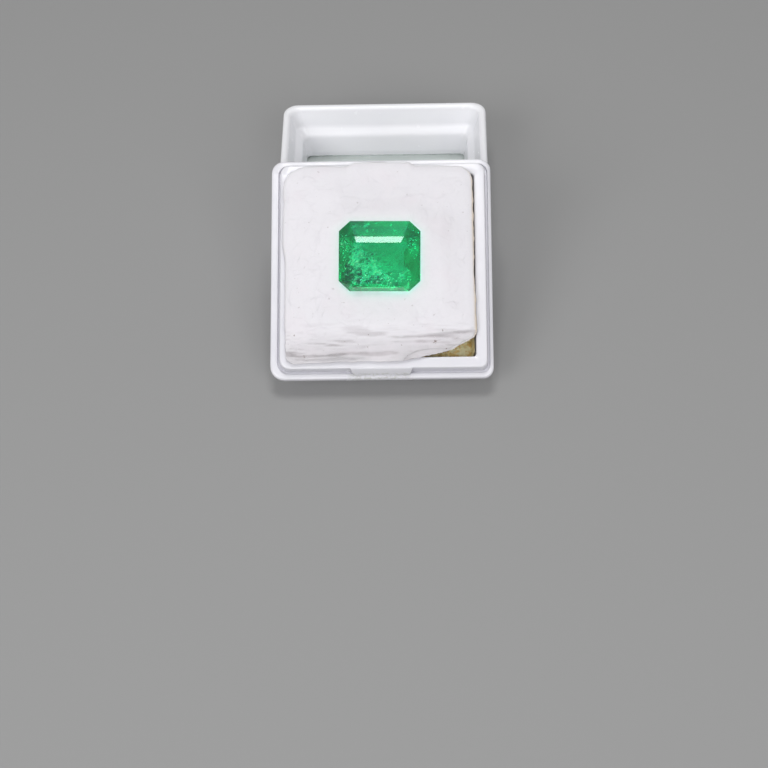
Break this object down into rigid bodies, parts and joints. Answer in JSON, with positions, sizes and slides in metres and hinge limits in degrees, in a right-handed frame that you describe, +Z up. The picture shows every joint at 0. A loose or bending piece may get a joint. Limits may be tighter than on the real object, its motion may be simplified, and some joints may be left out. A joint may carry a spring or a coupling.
{
  "type": "cut emerald in gem display box",
  "caption": "Step-cut emerald on a cotton pad in a small white tray with a raised collar, leaning on its own upturned windowed lid.",
  "frame": {"origin": "middle of the whole group's bounding box, at the height of the surface it stands on", "axes": "+Z up; +Y from the tray's low front edge towards the lid behind it; +X to the right seen from the front"},
  "size_m": [0.03, 0.0502, 0.0196],
  "materials": {
    "tray_plastic": "glossy moulded white, slightly milky",
    "lid_plastic": "satin to glossy moulded white",
    "window_clear": "clear, polished",
    "gold_card": "mottled gold foil on card",
    "cotton": "soft matt cotton wool",
    "emerald": "polished facets, included"
  },
  "bodies": {
    "root": {"base_tray": "tray_plastic", "lid_frame": "lid_plastic", "lid_window": "window_clear", "gold_liner": "gold_card", "cotton_pad": "cotton", "emerald": "emerald"}
  },
  "joints": []
}
